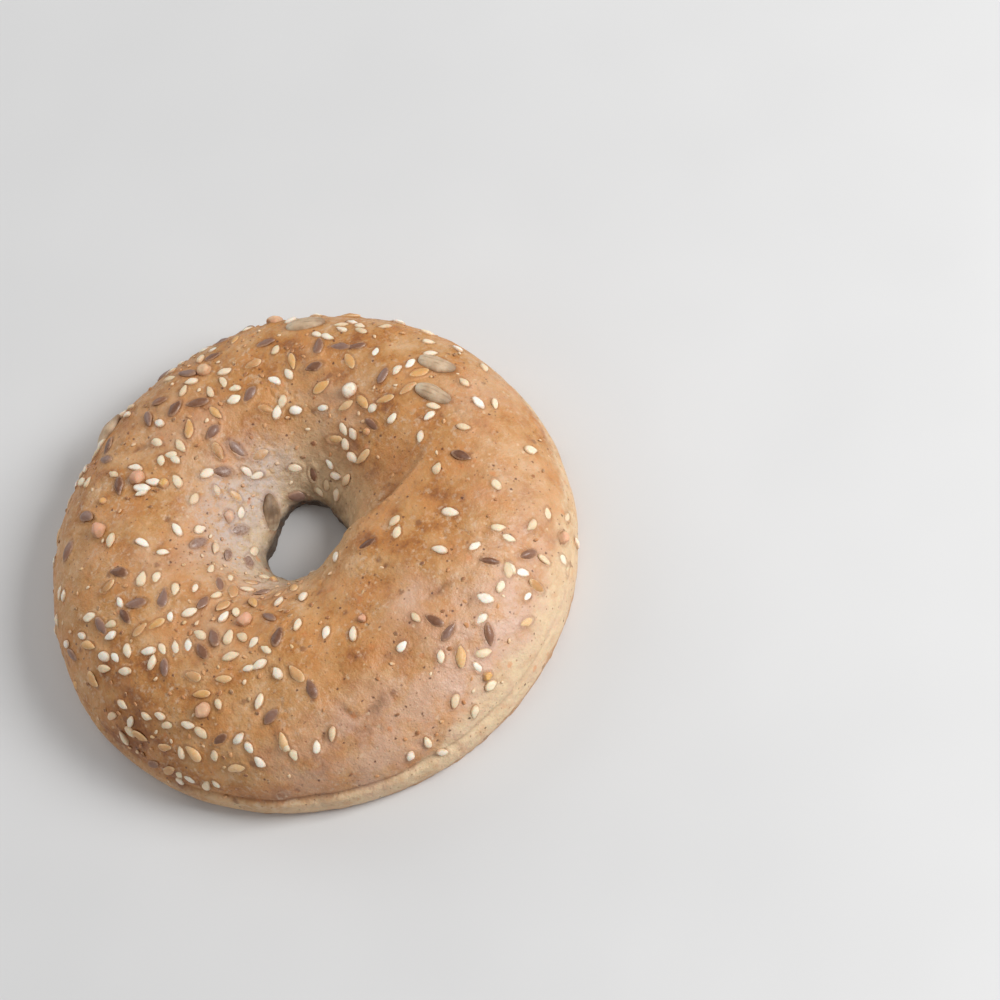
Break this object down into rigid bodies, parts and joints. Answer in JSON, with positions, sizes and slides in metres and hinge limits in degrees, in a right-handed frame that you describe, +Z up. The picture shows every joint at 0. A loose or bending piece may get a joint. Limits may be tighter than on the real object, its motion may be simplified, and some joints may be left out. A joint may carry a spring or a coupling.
{
  "type": "bagel half",
  "caption": "Top half of a sliced seeded bagel: a domed bread ring lying on its flat cut face, with sesame, flax, sunflower and grain pieces on its crust.",
  "frame": {"origin": "middle of the outline, on the flat cut face", "axes": "+Z up through the crust; +X and +Y lie in the cut face, and the picture looks at the -Y side from above"},
  "size_m": [0.1118, 0.1124, 0.0251],
  "materials": {
    "crust": "satin golden-brown baked crust, paler and floury near the cut"
  },
  "bodies": {
    "root": {"bagel": "crust"}
  },
  "joints": []
}
